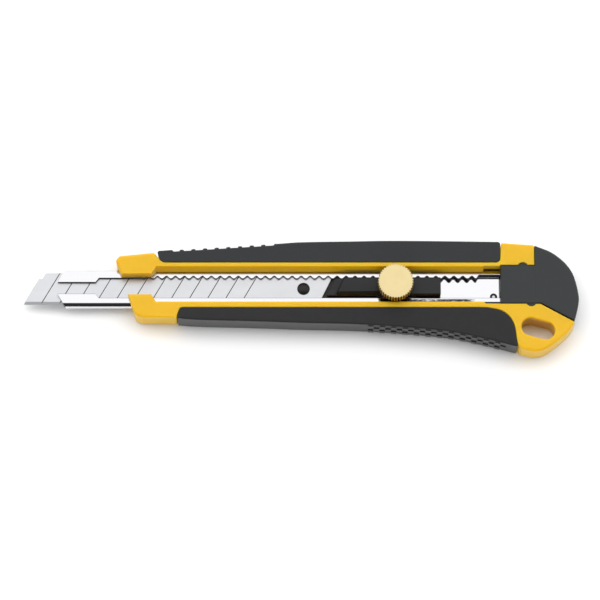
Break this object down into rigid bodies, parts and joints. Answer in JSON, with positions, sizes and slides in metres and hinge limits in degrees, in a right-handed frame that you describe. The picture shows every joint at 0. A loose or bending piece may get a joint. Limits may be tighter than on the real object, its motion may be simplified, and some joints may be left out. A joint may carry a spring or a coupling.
{
  "type": "utility knife",
  "caption": "Slim snap-off utility knife with a folded steel rail, a sliding blade carrier locked by a brass thumb wheel, rubber grips and a pull-off end cap.",
  "frame": {"origin": "centre of the bounding box in plan, on the flat back face that the knife lies on", "axes": "+X from the blade's tip towards the end cap, +Y across the knife towards its straight back edge, away from the belly of the lower grip, +Z out of the face that carries the thumb wheel"},
  "size_m": [0.1532, 0.0315, 0.0123],
  "materials": {
    "yellow_abs": "moulded ABS, fine satin",
    "grip_rubber": "matte overmoulded thermoplastic rubber",
    "cap_plastic": "moulded, fine spark texture",
    "black_plastic": "moulded nylon",
    "polished_stainless": "bright rolled and folded sheet",
    "blade_steel": "ground, scored carbon steel",
    "zinc_steel": "zinc plated",
    "dark_steel": "blackened spring steel",
    "turned_brass": "turned face, knurled rim"
  },
  "bodies": {
    "handle": {"body_shell": "yellow_abs", "upper_grip": "grip_rubber", "lower_grip": "grip_rubber", "blade_channel": "polished_stainless", "channel_rivet": "dark_steel"},
    "slider": {"blade": "blade_steel", "blade_carrier": "black_plastic", "blade_pin": "dark_steel", "slider_cover": "black_plastic", "flat_washer": "dark_steel", "wave_washer": "dark_steel"},
    "wheel": {"thumb_wheel": "turned_brass"},
    "lock": {"lock_plate": "zinc_steel", "lock_screw": "zinc_steel"},
    "cap": {"end_cap": "cap_plastic"}
  },
  "joints": [
    {"name": "blade_slide", "type": "slide", "parent": "handle", "child": "slider", "axis": [-1, 0, 0], "range_m": [-0.0124, 0.05952]},
    {"name": "wheel_turn", "type": "hinge", "parent": "slider", "child": "wheel", "pos_m": [0.0259, 0.00327, 0.0105], "axis": [0, 0, -1], "range_deg": [0, 360]},
    {"name": "lock_lift", "type": "slide", "parent": "slider", "child": "lock", "axis": [0, 0, 1], "range_m": [0, 0.0005]},
    {"name": "cap_pull", "type": "slide", "parent": "handle", "child": "cap", "axis": [1, 0, 0], "range_m": [0, 0.012]}
  ],
  "couplings": [
    {"joint": "wheel_turn", "follows": "lock_lift", "rad_per_m": 12566}
  ]
}
